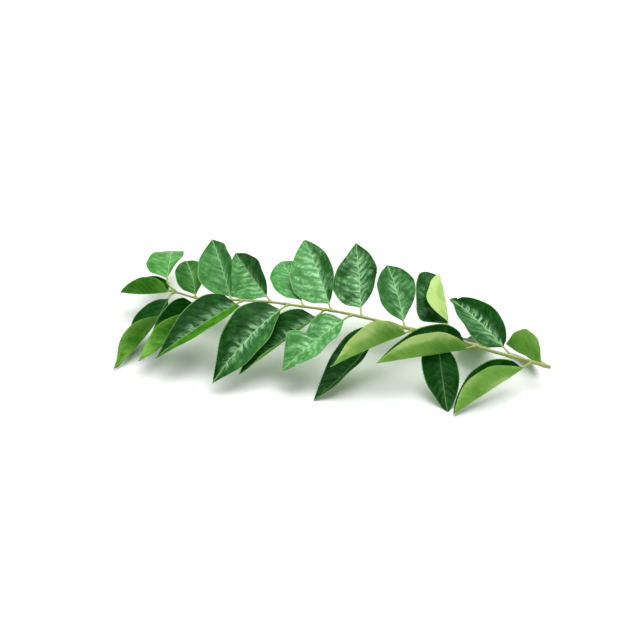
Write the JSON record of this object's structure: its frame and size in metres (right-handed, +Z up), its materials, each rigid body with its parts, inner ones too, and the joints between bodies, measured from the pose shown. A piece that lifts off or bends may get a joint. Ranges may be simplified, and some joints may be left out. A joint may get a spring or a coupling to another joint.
{
  "type": "curry leaf sprig",
  "caption": "Pinnate leaf of the curry tree lying as picked: a thin arched stem with alternate, partly folded oval leaflets in two rows and one at its tip.",
  "frame": {"origin": "on the surface the sprig lies on, under the middle of its bounding box", "axes": "+X along the stem towards its cut end, +Y from the front row of leaflets to the back row, +Z up from the surface"},
  "size_m": [0.2066, 0.0974, 0.0366],
  "materials": {
    "leaf": "fresh leaf: dark satin green above, dull yellow-green below, thin and lit through",
    "stem": "fresh green-brown stem, matte, with fine pale pores"
  },
  "bodies": {
    "root": {"rachis": "stem", "leaflet_front_1": "leaf", "leaflet_front_2": "leaf", "leaflet_front_3": "leaf", "leaflet_front_4": "leaf", "leaflet_front_5": "leaf", "leaflet_front_6": "leaf", "leaflet_front_7": "leaf", "leaflet_front_8": "leaf", "leaflet_front_9": "leaf", "leaflet_front_10": "leaf", "leaflet_front_11": "leaf", "leaflet_back_1": "leaf", "leaflet_back_2": "leaf", "leaflet_back_3": "leaf", "leaflet_back_4": "leaf", "leaflet_back_5": "leaf", "leaflet_back_6": "leaf", "leaflet_back_7": "leaf", "leaflet_back_8": "leaf", "leaflet_back_9": "leaf", "leaflet_back_10": "leaf", "leaflet_back_11": "leaf", "leaflet_back_12": "leaf", "leaflet_tip": "leaf"}
  },
  "joints": []
}
